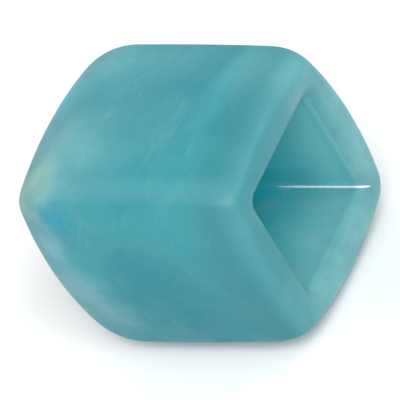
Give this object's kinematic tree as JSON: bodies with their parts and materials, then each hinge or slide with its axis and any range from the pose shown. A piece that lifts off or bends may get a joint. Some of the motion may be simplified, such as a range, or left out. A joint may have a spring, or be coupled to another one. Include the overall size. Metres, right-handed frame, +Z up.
{
  "type": "rock tumbler barrel",
  "caption": "Thick-walled square-mouthed urethane tumbling barrel with rounded-out sides, closed at one end, and a clamped plug lid that seals the mouth.",
  "frame": {"origin": "centre of the closed end's flat outer face", "axes": "+X along the barrel's axis from the closed end to the mouth; +Z up with the barrel lying on one side"},
  "size_m": [0.3743, 0.1614, 0.1614],
  "materials": {
    "barrel_urethane": "satin cast urethane, marbled",
    "lid_urethane": "satin cast urethane",
    "plate_steel": "brushed stainless",
    "bolt_steel": "turned stainless",
    "nut_plastic": "fine-textured moulding"
  },
  "bodies": {
    "barrel": {"barrel_body": "barrel_urethane"},
    "lid": {"lid_plug": "lid_urethane", "cover_plate": "plate_steel", "pressure_plate": "plate_steel", "clamp_bolt": "bolt_steel", "lid_washer": "bolt_steel"},
    "nut": {"thumb_nut": "nut_plastic"}
  },
  "joints": [
    {"name": "lid_slide", "type": "slide", "parent": "barrel", "child": "lid", "axis": [1, 0, 0], "range_m": [-0.15, 0]},
    {"name": "nut_spin", "type": "hinge", "parent": "lid", "child": "nut", "pos_m": [0.36, 0, 0], "axis": [1, 0, 0], "continuous": true}
  ]
}
